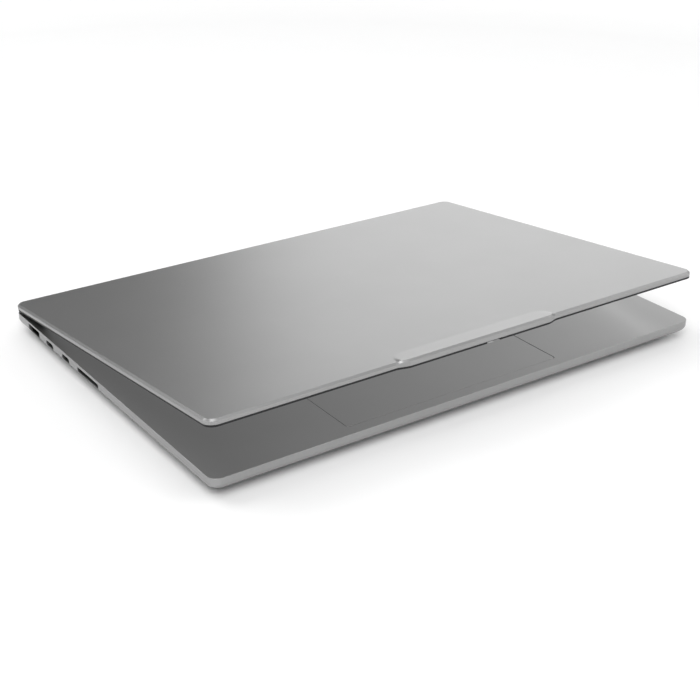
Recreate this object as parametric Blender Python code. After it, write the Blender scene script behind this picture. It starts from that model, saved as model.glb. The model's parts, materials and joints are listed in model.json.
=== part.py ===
"""A slim aluminium laptop computer, its lid standing a few degrees open.

Metres, +Z up, +X to the user's right, +Y to the rear. The origin is on the floor, under the middle of the
object's box. The lid's pieces are drawn closed, in a frame on the hinge axis, and hang from one empty there.
"""

import math

import bmesh
import bpy
from mathutils import Matrix, Vector

MM = 0.001

# Driving dimensions
WIDTH = 312 * MM
DEPTH = 221.4 * MM
CORNER = 5.5 * MM  # plan radius of the casing's corners
FOOT_HEIGHT = 1.0 * MM  # how far the feet lift the casing
BASE_HEIGHT = 10.5 * MM
LID_HEIGHT = 3.9 * MM
LID_GAP = 0.6 * MM  # between palm rest and closed lid
LID_ANGLE = math.radians(6.46)  # how far the lid stands open at rest
SIDE_BAND = 3.0 * MM  # upright part of the base's side, above the curved belly
BELLY_INSET = 18 * MM  # how far the belly curves in before it is flat
GAP = 0.3 * MM  # between pieces that touch in the real object

# Hinge: a barrel along the rear edge, just outside it
AXIS_BEHIND = 1.3 * MM
AXIS_BELOW_TOP = 0.7 * MM
BARREL_RADIUS = 2.5 * MM
SCALLOP_RADIUS = BARREL_RADIUS + GAP
PIN_RADIUS = 1.25 * MM
BORE_RADIUS = 1.35 * MM
HINGE_INNER, HINGE_SPLIT, HINGE_OUTER = 75 * MM, 98 * MM, 125 * MM
LEAF_DEPTH = 16 * MM
BASE_LEAF = (-2.2 * MM, -1.1 * MM)  # heights from the axis
LID_LEAF_THICK = 0.9 * MM

# Camera bar: the lid's front edge stands out and up here
BAR_HALF = 52.5 * MM
BAR_CURVE = 8 * MM
BAR_REACH = 2.05 * MM
BAR_RISE = 0.6 * MM
BAR_BLEND = 11.5 * MM
SHUTTER_X = 5.1 * MM
SHUTTER_WIDTH = 3.9 * MM
SHUTTER_TRAVEL = 4.5 * MM

# Walls
TOP_PLATE = 1.2 * MM
SIDE_WALL = 3.0 * MM
SEAM_DEPTH = 6.2 * MM  # from the palm rest down to the joint of the two covers
BOTTOM_PLATE = 1.0 * MM
LID_SKIN = 1.0 * MM
LID_WALL = 1.3 * MM
GASKET_HEIGHT = 0.85 * MM
GASKET_GAP = 0.25 * MM  # between gasket and shell
EDGE_CHAMFER = 0.5 * MM
PALM_CHAMFER = 0.35 * MM

# Keyboard
KEY_PITCH_X = 18.1 * MM
KEY_PITCH_Y = 18.4 * MM
FUNCTION_PITCH = 12.5 * MM
KEY_GAP = 2.7 * MM
KEY_UNITS = 15
KEY_DROP = 0.1 * MM  # key tops below the palm rest
KEY_TAPER = 0.3 * MM
KEYS_FROM_FRONT = 97 * MM
KEY_TRAVEL = 1.3 * MM

# Touchpad
PAD_LEFT, PAD_RIGHT = -77 * MM, 58.3 * MM
PAD_FROM_FRONT, PAD_DEPTH = 7 * MM, 82 * MM
PAD_THICK = 1.0 * MM
PAD_DROP = 0.1 * MM

# Heights above the floor
BASE_TOP = FOOT_HEIGHT + BASE_HEIGHT
SEAM = BASE_TOP - SEAM_DEPTH
AXIS_Z = BASE_TOP - AXIS_BELOW_TOP
KEY_TOP = BASE_TOP - KEY_DROP
KEY_WEB = (8.6 * MM, 9.0 * MM)
GRID = (9.3 * MM, 10.0 * MM)
BACKPLATE = (6.3 * MM, 7.0 * MM)

# Lid frame: y and z from the hinge axis with the lid closed
LID_LOW = AXIS_BELOW_TOP + LID_GAP
LID_TOP = LID_LOW + LID_HEIGHT
LID_REAR = -AXIS_BEHIND
LID_FRONT = LID_REAR - DEPTH
SHELL_RIM = LID_LOW + GASKET_HEIGHT + GASKET_GAP

# The base sits so that the whole object's box is centred on the origin
REAR_REACH = DEPTH / 2 + AXIS_BEHIND + BARREL_RADIUS
LIP_Y = (LID_FRONT - BAR_REACH) * math.cos(LID_ANGLE) + SHELL_RIM * math.sin(LID_ANGLE)
FRONT_REACH = DEPTH / 2 + AXIS_BEHIND + LIP_Y
BASE_Y = -(REAR_REACH + FRONT_REACH) / 2
REAR = BASE_Y + DEPTH / 2
FRONT = BASE_Y - DEPTH / 2
AXIS_Y = REAR + AXIS_BEHIND
THROUGH_REAR_WALL = (-SIDE_WALL - AXIS_BEHIND - 1 * MM, 1 * MM)  # y range from the hinge axis
KEYS_FRONT = FRONT + KEYS_FROM_FRONT
ROW_PITCHES = [FUNCTION_PITCH] + [KEY_PITCH_Y] * 5
KEYS_REAR = KEYS_FRONT + sum(ROW_PITCHES)
KEYS_LEFT = -KEY_UNITS * KEY_PITCH_X / 2

# Node name: row from the rear, first unit from the left, width of each keycap in units
KEYS = {
    "function_key_row": (0, 0, [1] * 14),
    "power_button": (0, 14, [1]),
    "number_key_row": (1, 0, [1] * 13),
    "backspace_key": (1, 13, [2]),
    "tab_key": (2, 0, [1.5]),
    "upper_letter_row": (2, 1.5, [1] * 12 + [1.5]),
    "caps_lock_key": (3, 0, [1.75]),
    "home_letter_row": (3, 1.75, [1] * 11),
    "enter_key": (3, 12.75, [2.25]),
    "left_shift_key": (4, 0, [2.25]),
    "lower_letter_row": (4, 2.25, [1] * 10),
    "right_shift_key": (4, 12.25, [2.75]),
    "left_modifier_keys": (5, 0, [1.25, 1, 1, 1]),
    "space_bar": (5, 4.25, [5.5]),
    "right_modifier_keys": (5, 9.75, [1, 1.25]),
}
ARROWS = {
    "left_arrow_key": (12, False),
    "up_arrow_key": (13, True),
    "down_arrow_key": (13, False),
    "right_arrow_key": (14, False),
}

# Node name: side, centre from the rear edge, centre height, mouth width and height, depth, tongue thickness
PORTS = {
    "hdmi_port": (-1, 25.0 * MM, 8.15 * MM, 14.4 * MM, 4.4 * MM, 12 * MM, 1.0 * MM),
    "usb_c_port_rear": (-1, 45.8 * MM, 8.3 * MM, 9.0 * MM, 2.9 * MM, 9 * MM, 0.7 * MM),
    "usb_c_port_front": (-1, 66.1 * MM, 8.3 * MM, 9.0 * MM, 2.9 * MM, 9 * MM, 0.7 * MM),
    "sd_card_slot": (-1, 93.0 * MM, 8.5 * MM, 24.6 * MM, 2.4 * MM, 13 * MM, 0),
    "usb_a_port_rear": (1, 27 * MM, 8.15 * MM, 12.5 * MM, 4.5 * MM, 12 * MM, 1.8 * MM),
    "usb_a_port_front": (1, 48 * MM, 8.15 * MM, 12.5 * MM, 4.5 * MM, 12 * MM, 1.8 * MM),
}
PORT_WALL = 0.35 * MM
PORT_RECESS = 1.8 * MM
JACK_FROM_REAR, JACK_Z, JACK_RADIUS, JACK_BORE = 66 * MM, 8.3 * MM, 2.7 * MM, 1.75 * MM

SCREWS = {
    "bottom_screw_rear_left": (-130 * MM, 98 * MM),
    "bottom_screw_rear_right": (130 * MM, 98 * MM),
    "bottom_screw_front_left": (-104 * MM, -88 * MM),
    "bottom_screw_front_right": (104 * MM, -88 * MM),
}
HEAD_RADIUS, HEAD_HEIGHT, SHANK_RADIUS = 2.2 * MM, 0.6 * MM, 0.8 * MM
BOSS_RADIUS, PAD_RADIUS = 2.4 * MM, 3.4 * MM  # what the screws turn into, and the thick spot under each head
FOOT_WIDTH = 5 * MM
FEET = {"rear_foot_strip": (89 * MM, 118 * MM), "front_foot_strip": (-78 * MM, 118 * MM)}

# Slots in the casing: exhaust in the rear wall, air intakes and speaker grilles underneath
VENTS, VENT_FIRST, VENT_PITCH, VENT_HALF = 12, 76 * MM, 4 * MM, 1.3 * MM
VENT_LOW, VENT_HIGH = 5.8 * MM, 7.5 * MM
INTAKES, INTAKE_PITCH, INTAKE_HALF, INTAKE_WIDTH = 9, 4 * MM, 20 * MM, 1.6 * MM
GRILLES, GRILLE_PITCH, GRILLE_HALF, GRILLE_WIDTH = 4, 3 * MM, 9 * MM, 1.2 * MM
SPEAKER_X, SPEAKER_Y = 125 * MM, -70 * MM
FAN_X, FAN_Y, FAN_HALF, FAN_BORE = 98 * MM, 66 * MM, 26 * MM, 23 * MM
FAN_LOW, FAN_HIGH = 2.4 * MM, 6.0 * MM

# Colours, as red, green, blue, roughness and metallic
SILVER = (0.56, 0.56, 0.57, 0.38, 1.0)
DARK_SILVER = (0.40, 0.40, 0.41, 0.45, 1.0)
BLACK_PLASTIC = (0.02, 0.02, 0.022, 0.55, 0.0)
KEY_GREY = (0.16, 0.16, 0.17, 0.6, 0.0)
RUBBER = (0.03, 0.03, 0.03, 0.9, 0.0)
STEEL = (0.62, 0.62, 0.60, 0.3, 1.0)
COPPER = (0.80, 0.42, 0.26, 0.3, 1.0)
GLASS = (0.01, 0.01, 0.012, 0.08, 0.0)
BOARD_GREEN = (0.02, 0.10, 0.06, 0.5, 0.0)


# ---- helpers ----------------------------------------------------------------


def clear_scene():
    for obj in list(bpy.data.objects):
        bpy.data.objects.remove(obj)


def make_material(name, look):
    red, green, blue, roughness, metallic = look
    found = bpy.data.materials.new(name)
    found.use_nodes = True
    shader = found.node_tree.nodes["Principled BSDF"]
    shader.inputs["Base Color"].default_value = (red, green, blue, 1)
    shader.inputs["Roughness"].default_value = roughness
    shader.inputs["Metallic"].default_value = metallic
    return found


def add_object(name, bm, look=None, lid=False):
    """A bmesh as a named piece with its own material, or as a hidden cutter when it has no look."""
    mesh = bpy.data.meshes.new(name)
    bmesh.ops.recalc_face_normals(bm, faces=bm.faces)
    bm.to_mesh(mesh)
    bm.free()
    obj = bpy.data.objects.new(name, mesh)
    if look is None:
        obj.hide_render = True
        obj.display_type = "WIRE"
        cutters.objects.link(obj)
    else:
        mesh.materials.append(make_material(name, look))
        parts.objects.link(obj)
    if lid:
        obj.parent = lid_hinge
    return obj


def block(bm, low, high):
    """A box between two corners."""
    low, high = Vector(low), Vector(high)
    size = high - low
    place = Matrix.Translation((low + high) / 2) @ Matrix.Diagonal((*size, 1))
    return bmesh.ops.create_cube(bm, size=1, matrix=place)["verts"]


def rod(bm, centre, radius, length, axis="Z", segments=24):
    """A cylinder about its centre, lying along X or standing up."""
    turn = Matrix()
    if axis == "X":
        turn = Matrix.Rotation(math.pi / 2, 4, "Y")
    return bmesh.ops.create_cone(
        bm, cap_ends=True, segments=segments, radius1=radius, radius2=radius, depth=length,
        matrix=Matrix.Translation(centre) @ turn,
    )["verts"]


def boxes(*pairs):
    bm = bmesh.new()
    for low, high in pairs:
        block(bm, low, high)
    return bm


def rods(*settings, **more):
    bm = bmesh.new()
    for centre, radius, length in settings:
        rod(bm, centre, radius, length, **more)
    return bm


def outline(left, right, front, rear, radius, steps=5):
    """A rounded rectangle's points, anticlockwise, starting at the right end of its front edge."""
    points = []
    for turn, (x, y) in enumerate(((right, front), (right, rear), (left, rear), (left, front))):
        centre_x = x - math.copysign(radius, x - (left + right) / 2)
        centre_y = y - math.copysign(radius, y - (front + rear) / 2)
        for step in range(steps + 1):
            angle = math.radians(90 * (turn - 1 + step / steps))
            points.append((centre_x + radius * math.cos(angle), centre_y + radius * math.sin(angle)))
    return points


def loft(*rings):
    """A closed skin through outlines of equal length, each given with its height, from the bottom up."""
    bm = bmesh.new()
    levels = [[bm.verts.new((x, y, z)) for x, y in points] for points, z in rings]
    for lower, upper in zip(levels, levels[1:]):
        for i in range(len(lower)):
            j = (i + 1) % len(lower)
            bm.faces.new((lower[i], lower[j], upper[j], upper[i]))
    bm.faces.new(list(reversed(levels[0])))
    bm.faces.new(levels[-1])
    return bm


def combine(obj, operation, bm, lid=False):
    """Cuts or joins a helper solid, which stays hidden among the cutters."""
    helper = add_object(f"{obj.name}_{operation.lower()}_{len(obj.modifiers)}", bm, lid=lid)
    modifier = obj.modifiers.new(operation.title(), "BOOLEAN")
    modifier.operation = operation
    modifier.object = helper
    return obj


def cut(obj, bm, lid=False):
    return combine(obj, "DIFFERENCE", bm, lid)


def join(obj, bm, lid=False):
    return combine(obj, "UNION", bm, lid)


def base_outline(inset, radius=CORNER, rear_inset=None):
    back = inset if rear_inset is None else rear_inset
    return outline(-WIDTH / 2 + inset, WIDTH / 2 - inset, FRONT + inset, REAR - back, radius)


def belly(angle, thick=0.0):
    """Inset and height of the curved belly, from 0 degrees where it starts to 90 where it is flat."""
    turn = math.radians(angle)
    inset = BELLY_INSET * (1 - math.cos(turn)) + thick
    drop = SIDE_BAND + (BASE_HEIGHT - SIDE_BAND) * math.sin(turn) - thick * math.sin(turn)
    return inset, BASE_TOP - drop


def belly_angle(drop):
    return math.degrees(math.asin((drop - SIDE_BAND) / (BASE_HEIGHT - SIDE_BAND)))


def belly_rings(angles, thick=0.0):
    rings = []
    for angle in angles:
        inset, z = belly(angle, thick)
        rings.append((base_outline(inset), z))
    return rings


def from_centre(x, y):
    """A point given from the middle of the base, as world x and y."""
    return x, y + BASE_Y


# ---- base casing ------------------------------------------------------------


def port_box(side, from_rear, z, width, height, inner, margin):
    """Corners of a box at a side wall, from outside the wall to a depth inside it."""
    y = REAR - from_rear
    xs = sorted((side * (WIDTH / 2 - inner), side * (WIDTH / 2 + 1 * MM)))
    low = (xs[0], y - width / 2 - margin, z - height / 2 - margin)
    high = (xs[1], y + width / 2 + margin, z + height / 2 + margin)
    return low, high


def hinge_zones(low_x, high_x, y_range, z_range, lid=False):
    """A pair of boxes, left and right, measured from the hinge axis."""
    origin_y, origin_z = (0, 0) if lid else (AXIS_Y, AXIS_Z)
    pairs = []
    for side in (-1, 1):
        xs = sorted((side * low_x, side * high_x))
        low, high = [(x, origin_y + y, origin_z + z) for x, y, z in zip(xs, y_range, z_range)]
        pairs.append((low, high))
    return pairs


def scallops(lid=False):
    """The trough that clears both hinge barrels."""
    y, z = (0, 0) if lid else (AXIS_Y, AXIS_Z)
    length = HINGE_OUTER - HINGE_INNER + 1 * MM
    middle = (HINGE_INNER + HINGE_OUTER) / 2
    troughs = [((side * middle, y, z), SCALLOP_RADIUS, length) for side in (-1, 1)]
    return rods(*troughs, axis="X", segments=32)


def top_cover():
    seam_angle = belly_angle(SEAM_DEPTH)
    rings = [belly_rings([seam_angle])[0], belly_rings([seam_angle / 2])[0]]
    rings += [(base_outline(0), BASE_TOP - SIDE_BAND), (base_outline(0), BASE_TOP - PALM_CHAMFER)]
    rings.append((base_outline(PALM_CHAMFER), BASE_TOP))
    cover = add_object("top_cover", loft(*rings), SILVER)
    inside = base_outline(SIDE_WALL, CORNER - SIDE_WALL + 1 * MM)
    cut(cover, loft((inside, SEAM - 1 * MM), (inside, BASE_TOP - TOP_PLATE)))
    well = ((KEYS_LEFT, KEYS_FRONT, BASE_TOP - 3 * MM), (-KEYS_LEFT, KEYS_REAR, BASE_TOP + 1 * MM))
    pad = (
        (PAD_LEFT - GAP, FRONT + PAD_FROM_FRONT - GAP, BASE_TOP - 3 * MM),
        (PAD_RIGHT + GAP, FRONT + PAD_FROM_FRONT + PAD_DEPTH + GAP, BASE_TOP + 1 * MM),
    )
    cut(cover, boxes(well, pad))
    mouths = [
        port_box(side, y, z, w + 2 * PORT_WALL, h + 2 * PORT_WALL, PORT_RECESS + deep + 1 * MM, GAP)
        for side, y, z, w, h, deep, _ in PORTS.values()
    ]
    cut(cover, boxes(*mouths))
    jack = (WIDTH / 2 - 6 * MM, REAR - JACK_FROM_REAR, JACK_Z)
    cut(cover, rods((jack, JACK_RADIUS + GAP, 30 * MM), axis="X"))
    cut(cover, scallops())
    heights = (BASE_LEAF[0] - GAP, BASE_LEAF[1] + GAP)
    slots = hinge_zones(HINGE_INNER - GAP, HINGE_SPLIT + GAP, THROUGH_REAR_WALL, heights)
    cut(cover, boxes(*slots))
    vents = []
    for side in (-1, 1):
        for i in range(VENTS):
            x = side * (VENT_FIRST + VENT_PITCH * i)
            low, high = (x - VENT_HALF, REAR - 5 * MM, VENT_LOW), (x + VENT_HALF, REAR + 1 * MM, VENT_HIGH)
            vents.append((low, high))
    cut(cover, boxes(*vents))
    boss_top = BASE_TOP - 1 * MM
    join(cover, screw_rods((boss_top + SEAM) / 2, BOSS_RADIUS, boss_top - SEAM))
    cut(cover, screw_rods(SEAM, SHANK_RADIUS + GAP, 8 * MM))


def screw_rods(z, radius, length, segments=12):
    """One upright rod at every screw."""
    settings = [((*from_centre(*at), z), radius, length) for at in SCREWS.values()]
    return rods(*settings, segments=segments)


def bottom_cover():
    top = belly_angle(SEAM_DEPTH + GAP)
    angles = [90, 76, 62, 50, 39, top]
    cover = add_object("bottom_cover", loft(*belly_rings(angles)), DARK_SILVER)
    inner = belly_rings(angles, BOTTOM_PLATE)
    rim = inner[-1][0]
    cut(cover, loft(*inner, (rim, BASE_TOP)))
    slots = []
    for side in (-1, 1):
        slots += slot_row(side * FAN_X, FAN_Y, INTAKES, INTAKE_PITCH, INTAKE_HALF, INTAKE_WIDTH)
        slots += slot_row(side * SPEAKER_X, SPEAKER_Y, GRILLES, GRILLE_PITCH, GRILLE_HALF, GRILLE_WIDTH)
    cut(cover, boxes(*slots))
    for y, half in FEET.values():
        cut(cover, foot_solid(y, half + GAP, FOOT_WIDTH / 2 + GAP, 0, FOOT_HEIGHT + 0.6 * MM))
    join(cover, screw_rods(FOOT_HEIGHT + 1.6 * MM, PAD_RADIUS, 2.0 * MM, segments=16))
    cut(cover, screw_rods(FOOT_HEIGHT, HEAD_RADIUS + GAP, 2 * (HEAD_HEIGHT + 0.2 * MM), segments=16))
    cut(cover, screw_rods(SEAM, SHANK_RADIUS + GAP, 12 * MM))


def slot_row(x, y, count, pitch, half, width):
    """Boxes for parallel slots through the base's floor, side by side about a point."""
    x, y = from_centre(x, y)
    pairs = []
    for i in range(count):
        middle = y + (i - (count - 1) / 2) * pitch
        pairs.append(((x - half, middle - width / 2, 0), (x + half, middle + width / 2, 3 * MM)))
    return pairs


def foot_solid(y, half, half_width, low, high):
    y += BASE_Y
    plan = outline(-half, half, y - half_width, y + half_width, half_width - 0.05 * MM, steps=4)
    return loft((plan, low), (plan, high))


def feet():
    for name, (y, half) in FEET.items():
        add_object(name, foot_solid(y, half, FOOT_WIDTH / 2, 0, FOOT_HEIGHT + 0.3 * MM), RUBBER)


def screws():
    for name, at in SCREWS.items():
        x, y = from_centre(*at)
        low = FOOT_HEIGHT + 0.1 * MM
        head = rods(((x, y, low + HEAD_HEIGHT / 2), HEAD_RADIUS, HEAD_HEIGHT), segments=16)
        screw = add_object(name, head, STEEL)
        join(screw, rods(((x, y, low + 3 * MM), SHANK_RADIUS, 5.6 * MM), segments=12))
        cut(screw, boxes(((x - 1.2 * MM, y - 0.25 * MM, 0), (x + 1.2 * MM, y + 0.25 * MM, low + 0.3 * MM))))


# ---- keyboard and touchpad --------------------------------------------------


def row_span(row):
    """Front and rear of a key row's cell."""
    rear = KEYS_REAR - sum(ROW_PITCHES[:row])
    return rear - ROW_PITCHES[row], rear


def keycap(bm, left, right, front, rear):
    """One cap, whose skirt runs down through the key grid."""
    half = KEY_GAP / 2
    low = (left + half, front + half, KEY_WEB[0])
    high = (right - half, rear - half, KEY_TOP)
    middle = (Vector(low) + Vector(high)) / 2
    for vert in block(bm, low, high):
        if vert.co.z > middle.z:
            vert.co.x -= math.copysign(KEY_TAPER, vert.co.x - middle.x)
            vert.co.y -= math.copysign(KEY_TAPER, vert.co.y - middle.y)


def keys():
    for name, (row, unit, widths) in KEYS.items():
        front, rear = row_span(row)
        bm = bmesh.new()
        left = start = KEYS_LEFT + unit * KEY_PITCH_X
        for width in widths:
            keycap(bm, left, left + width * KEY_PITCH_X, front, rear)
            left += width * KEY_PITCH_X
        key = add_object(name, bm, KEY_GREY)
        if len(widths) > 1:
            middle = (front + rear) / 2
            low = (start + 2 * KEY_GAP, middle - 2.5 * MM, KEY_WEB[0] + 0.05 * MM)
            join(key, boxes((low, (left - 2 * KEY_GAP, middle + 2.5 * MM, KEY_WEB[1]))))
    front, rear = row_span(5)
    middle = (front + rear) / 2
    for name, (unit, upper) in ARROWS.items():
        left = KEYS_LEFT + unit * KEY_PITCH_X
        bm = bmesh.new()
        slack = KEY_GAP / 2 - 0.4 * MM
        if upper:
            keycap(bm, left, left + KEY_PITCH_X, middle - slack, rear)
        else:
            keycap(bm, left, left + KEY_PITCH_X, front, middle + slack)
        add_object(name, bm, KEY_GREY)


def keyboard():
    edge = 4 * MM
    low, high = GRID
    grid = add_object(
        "keyboard_grid",
        boxes(((KEYS_LEFT - edge, KEYS_FRONT - edge, low), (-KEYS_LEFT + edge, KEYS_REAR + edge, high))),
        BLACK_PLASTIC,
    )
    slack = KEY_GAP / 2 - 0.4 * MM
    rows = []
    for row in range(len(ROW_PITCHES)):
        front, rear = row_span(row)
        corner = (KEYS_LEFT + slack, front + slack, low - 1 * MM)
        rows.append((corner, (-KEYS_LEFT - slack, rear - slack, high + 1 * MM)))
    cut(grid, boxes(*rows))
    edge = 1 * MM
    low, high = BACKPLATE
    add_object(
        "keyboard_backplate",
        boxes(((KEYS_LEFT - edge, KEYS_FRONT - edge, low), (-KEYS_LEFT + edge, KEYS_REAR + edge, high))),
        STEEL,
    )


def touchpad():
    top = BASE_TOP - PAD_DROP
    front = FRONT + PAD_FROM_FRONT
    plan = outline(PAD_LEFT, PAD_RIGHT, front, front + PAD_DEPTH, 1.0 * MM, steps=2)
    add_object("touchpad", loft((plan, top - PAD_THICK), (plan, top)), DARK_SILVER)


# ---- ports ------------------------------------------------------------------


def ports():
    for name, (side, from_rear, z, width, height, deep, tongue) in PORTS.items():
        outer = WIDTH / 2 - PORT_RECESS
        y = REAR - from_rear

        def corners(near, far, wide, high):
            xs = sorted((side * near, side * far))
            return (xs[0], y - wide / 2, z - high / 2), (xs[1], y + wide / 2, z + high / 2)

        shell = corners(outer, outer - deep, width + 2 * PORT_WALL, height + 2 * PORT_WALL)
        port = add_object(name, boxes(shell), STEEL)
        cut(port, boxes(corners(outer + 1 * MM, outer - deep + 1 * MM, width, height)))
        if tongue:
            join(port, boxes(corners(outer - 1 * MM, outer - deep + 0.5 * MM, width * 0.8, tongue)))
    centre = (WIDTH / 2 - PORT_RECESS - 6 * MM, REAR - JACK_FROM_REAR, JACK_Z)
    jack = add_object("audio_jack", rods((centre, JACK_RADIUS, 12 * MM), axis="X"), BLACK_PLASTIC)
    cut(jack, rods(((centre[0] + 1 * MM, *centre[1:]), JACK_BORE, 12 * MM), axis="X"))


# ---- inside the base --------------------------------------------------------


def inner_box(x0, x1, y0, y1, z0, z1):
    """A box in millimetres, its plan from the middle of the base and its heights from the floor."""
    return (x0 * MM, y0 * MM + BASE_Y, z0 * MM), (x1 * MM, y1 * MM + BASE_Y, z1 * MM)


def motherboard():
    half = [(142, 7), (142, 78), (127, 78), (127, 34), (68, 34), (68, 88)]
    corners = half + [(-x, y) for x, y in reversed(half)]
    plan = [(x * MM, y * MM + BASE_Y) for x, y in corners]
    board = add_object("motherboard", loft((plan, 2.6 * MM), (plan, 3.6 * MM)), BOARD_GREEN)
    chips = [(-14, 14, 42, 66, 4.3), (-60, -46, 44, 58, 4.2), (-60, -46, 62, 76, 4.2), (46, 60, 44, 58, 4.2)]
    chips += [(46, 60, 62, 76, 4.2), (-8, 8, 12, 26, 4.4), (-38, -28, 72, 84, 5.0), (28, 38, 72, 84, 5.0)]
    join(board, boxes(*[inner_box(x0, x1, y0, y1, 3.3, z1) for x0, x1, y0, y1, z1 in chips]))
    m2_posts = [((x * MM, 21 * MM + BASE_Y, 3.7 * MM), 1.5 * MM, 0.6 * MM) for x in (-24, 80)]
    join(board, rods(*m2_posts, segments=12))


def fan(name, side):
    x, y = from_centre(side * FAN_X, FAN_Y)
    box = ((x - FAN_HALF, y - FAN_HALF, FAN_LOW), (x + FAN_HALF, y + FAN_HALF, FAN_HIGH))
    housing = add_object(f"fan_housing_{name}", boxes(box), BLACK_PLASTIC)
    middle = (FAN_LOW + FAN_HIGH) / 2
    cut(housing, rods(((x, y, middle), FAN_BORE, FAN_HIGH - FAN_LOW - 1.0 * MM), segments=32))
    mouth = ((x - 21 * MM, y, FAN_LOW + 0.5 * MM), (x + 21 * MM, y + FAN_HALF + 1 * MM, FAN_HIGH - 0.5 * MM))
    cut(housing, boxes(mouth))
    cut(housing, rods(((x, y, FAN_LOW), 15 * MM, 4 * MM), segments=24))
    hub = rods(((x, y, middle), 9 * MM, 1.9 * MM), segments=24)
    rotor = add_object(f"fan_rotor_{name}", hub, BLACK_PLASTIC)
    blades = bmesh.new()
    for i in range(13):
        verts = block(blades, (0, -0.35 * MM, -0.9 * MM), (12.5 * MM, 0.35 * MM, 0.9 * MM))
        lean = Matrix.Translation((8 * MM, 0, 0)) @ Matrix.Rotation(math.radians(24), 4, "Z")
        turn = Matrix.Rotation(2 * math.pi * i / 13, 4, "Z")
        bmesh.ops.transform(blades, matrix=Matrix.Translation((x, y, middle)) @ turn @ lean, verts=verts)
    join(rotor, blades)


def cooling():
    """Both fans, and the cold plate with its heat pipes and fin stacks, which are soldered into one piece."""
    for name, side in (("left", -1), ("right", 1)):
        fan(name, side)
    sink = add_object("heat_sink", boxes(inner_box(-17, 17, 39, 69, 4.6, 5.4)), COPPER)
    for side in (-1, 1):
        route = [(10, 54, 5.2), (52, 54, 5.2), (66, 62, 5.2), (69, 72, 5.2), (69, 84, 5.2)]
        route += [(69, 92.6, 5.4), (70, 95, 6.8), (74, 97.5, 7.5), (121, 97.5, 7.5)]
        join(sink, pipe([(side * x * MM, y * MM + BASE_Y, z * MM) for x, y, z in route], 0.7 * MM))
    for side in (-1, 1):
        centre = side * FAN_X / MM
        join(sink, boxes(inner_box(centre - 24, centre + 24, 93.5, 101.5, 3.4, 7.2)))
        starts = [centre - 23 + 3.4 * i for i in range(14)]
        cut(sink, boxes(*[inner_box(x, x + 1.6, 93, 102, 4.0, 6.6) for x in starts]))


def pipe(points, radius):
    """A round tube through the points, as a closed mesh."""
    curve = bpy.data.curves.new("pipe", "CURVE")
    curve.dimensions = "3D"
    curve.bevel_depth = radius
    curve.bevel_resolution = 2
    curve.use_fill_caps = True
    spline = curve.splines.new("POLY")
    spline.points.add(len(points) - 1)
    for point, at in zip(spline.points, points):
        point.co = (*at, 1)
    guide = bpy.data.objects.new("pipe", curve)
    cutters.objects.link(guide)
    mesh = bpy.data.meshes.new_from_object(guide.evaluated_get(bpy.context.evaluated_depsgraph_get()))
    bpy.data.objects.remove(guide)
    bm = bmesh.new()
    bm.from_mesh(mesh)
    bpy.data.meshes.remove(mesh)
    bmesh.ops.remove_doubles(bm, verts=bm.verts, dist=0.01 * MM)
    return bm


def modules():
    add_object("battery_pack", boxes(inner_box(-97, 97, -97, -24, 2.5, 8.4)), BLACK_PLASTIC)
    add_object("ssd_module", boxes(inner_box(-106, -26, 10, 32, 4.2, 5.6)), BOARD_GREEN)
    add_object("wifi_card", boxes(inner_box(78, 108, 10, 32, 4.2, 5.2)), BOARD_GREEN)
    for name, side in (("left", -1), ("right", 1)):
        xs = sorted((side * 110, side * 139))
        add_object(f"speaker_{name}", boxes(inner_box(*xs, -92, -40, 3.2, 7.6)), BLACK_PLASTIC)


# ---- hinges -----------------------------------------------------------------


def hinges():
    for name, side in (("left", -1), ("right", 1)):
        def span(low, high):
            return sorted((side * low, side * high))

        def barrel(low, high, y, z):
            return rods(((side * (low + high) / 2, y, z), BARREL_RADIUS, high - low), axis="X")

        def bore(y, z):
            return rods(((side * 100 * MM, y, z), BORE_RADIUS, 60 * MM), axis="X")

        xs = span(HINGE_INNER, HINGE_SPLIT)
        bracket = add_object(f"hinge_bracket_{name}", barrel(HINGE_INNER, HINGE_SPLIT, AXIS_Y, AXIS_Z), STEEL)
        low = (xs[0], AXIS_Y - LEAF_DEPTH, AXIS_Z + BASE_LEAF[0])
        high = (xs[1], AXIS_Y - 0.5 * MM, AXIS_Z + BASE_LEAF[1])
        join(bracket, boxes((low, high)))
        cut(bracket, bore(AXIS_Y, AXIS_Z))

        arm_start = HINGE_SPLIT + 0.4 * MM
        xs = span(arm_start, HINGE_OUTER)
        arm = add_object(f"lid_hinge_arm_{name}", barrel(arm_start, HINGE_OUTER, 0, 0), STEEL, lid=True)
        low = (xs[0], -LEAF_DEPTH, SHELL_RIM)
        high = (xs[1], -0.3 * MM, SHELL_RIM + LID_LEAF_THICK)
        join(arm, boxes((low, high)), lid=True)
        cut(arm, bore(0, 0), lid=True)
        centre = (side * (HINGE_INNER + HINGE_OUTER) / 2, 0, 0)
        pin = rods((centre, PIN_RADIUS, HINGE_OUTER - HINGE_INNER - 1 * MM), axis="X")
        add_object(f"hinge_pin_{name}", pin, STEEL, lid=True)


# ---- lid --------------------------------------------------------------------


def lid_outline(inset, bar=True, rear_inset=None, radius=CORNER):
    """The lid's plan. The last points run along the front edge, where the camera bar stands out."""
    back = inset if rear_inset is None else rear_inset
    front = LID_FRONT + inset
    points = outline(-WIDTH / 2 + inset, WIDTH / 2 - inset, front, LID_REAR - back, radius)
    if bar:
        bend = []
        for t in [i / 5 for i in range(6)]:
            bend.append((BAR_HALF - BAR_CURVE * t, front - BAR_REACH * (3 * t**2 - 2 * t**3)))
        points += [(-x, y) for x, y in bend] + list(reversed(bend))
    return points


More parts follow.
